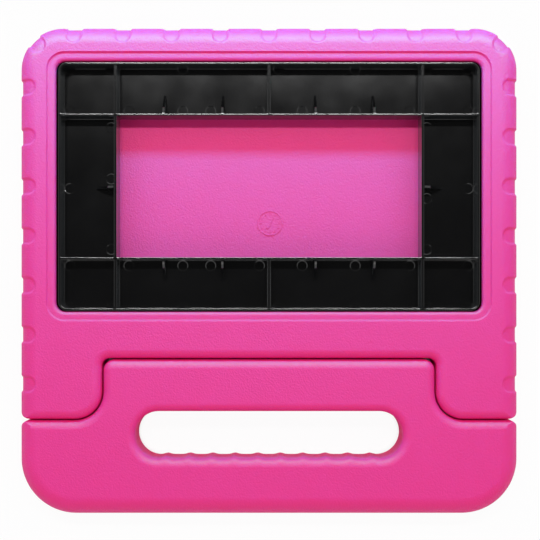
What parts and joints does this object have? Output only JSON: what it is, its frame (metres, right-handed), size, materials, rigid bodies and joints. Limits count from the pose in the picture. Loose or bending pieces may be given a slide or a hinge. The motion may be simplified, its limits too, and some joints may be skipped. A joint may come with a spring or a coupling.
{
  "type": "kids tablet case",
  "caption": "Moulded foam case for a small tablet, with a fold-back carrying handle that becomes a stand and a ribbed plastic tray in its pocket.",
  "frame": {"origin": "middle of the back face, at the level that the case lies on", "axes": "+Z out of the front face, +X to the right seen from the front, +Y from the handle towards the top edge"},
  "size_m": [0.246, 0.2406, 0.025],
  "materials": {
    "foam": "matt moulded foam with a fine leather-like grain",
    "tray_plastic": "glossy moulded black",
    "hinge_nylon": "satin moulded black",
    "hinge_steel": "turned"
  },
  "bodies": {
    "case": {"case_shell": "foam", "insert_tray": "tray_plastic", "hinge_socket_left": "hinge_nylon", "hinge_socket_right": "hinge_nylon"},
    "handle": {"handle_stand": "foam", "hinge_hub_left": "hinge_nylon", "hinge_hub_right": "hinge_nylon", "hinge_washer_left": "hinge_nylon", "hinge_washer_right": "hinge_nylon", "hinge_pin_left": "hinge_steel", "hinge_pin_right": "hinge_steel"}
  },
  "joints": [
    {"name": "handle_fold", "type": "hinge", "parent": "case", "child": "handle", "pos_m": [0, -0.0544, 0.0046], "axis": [1, 0, 0], "range_deg": [0, 120]}
  ]
}
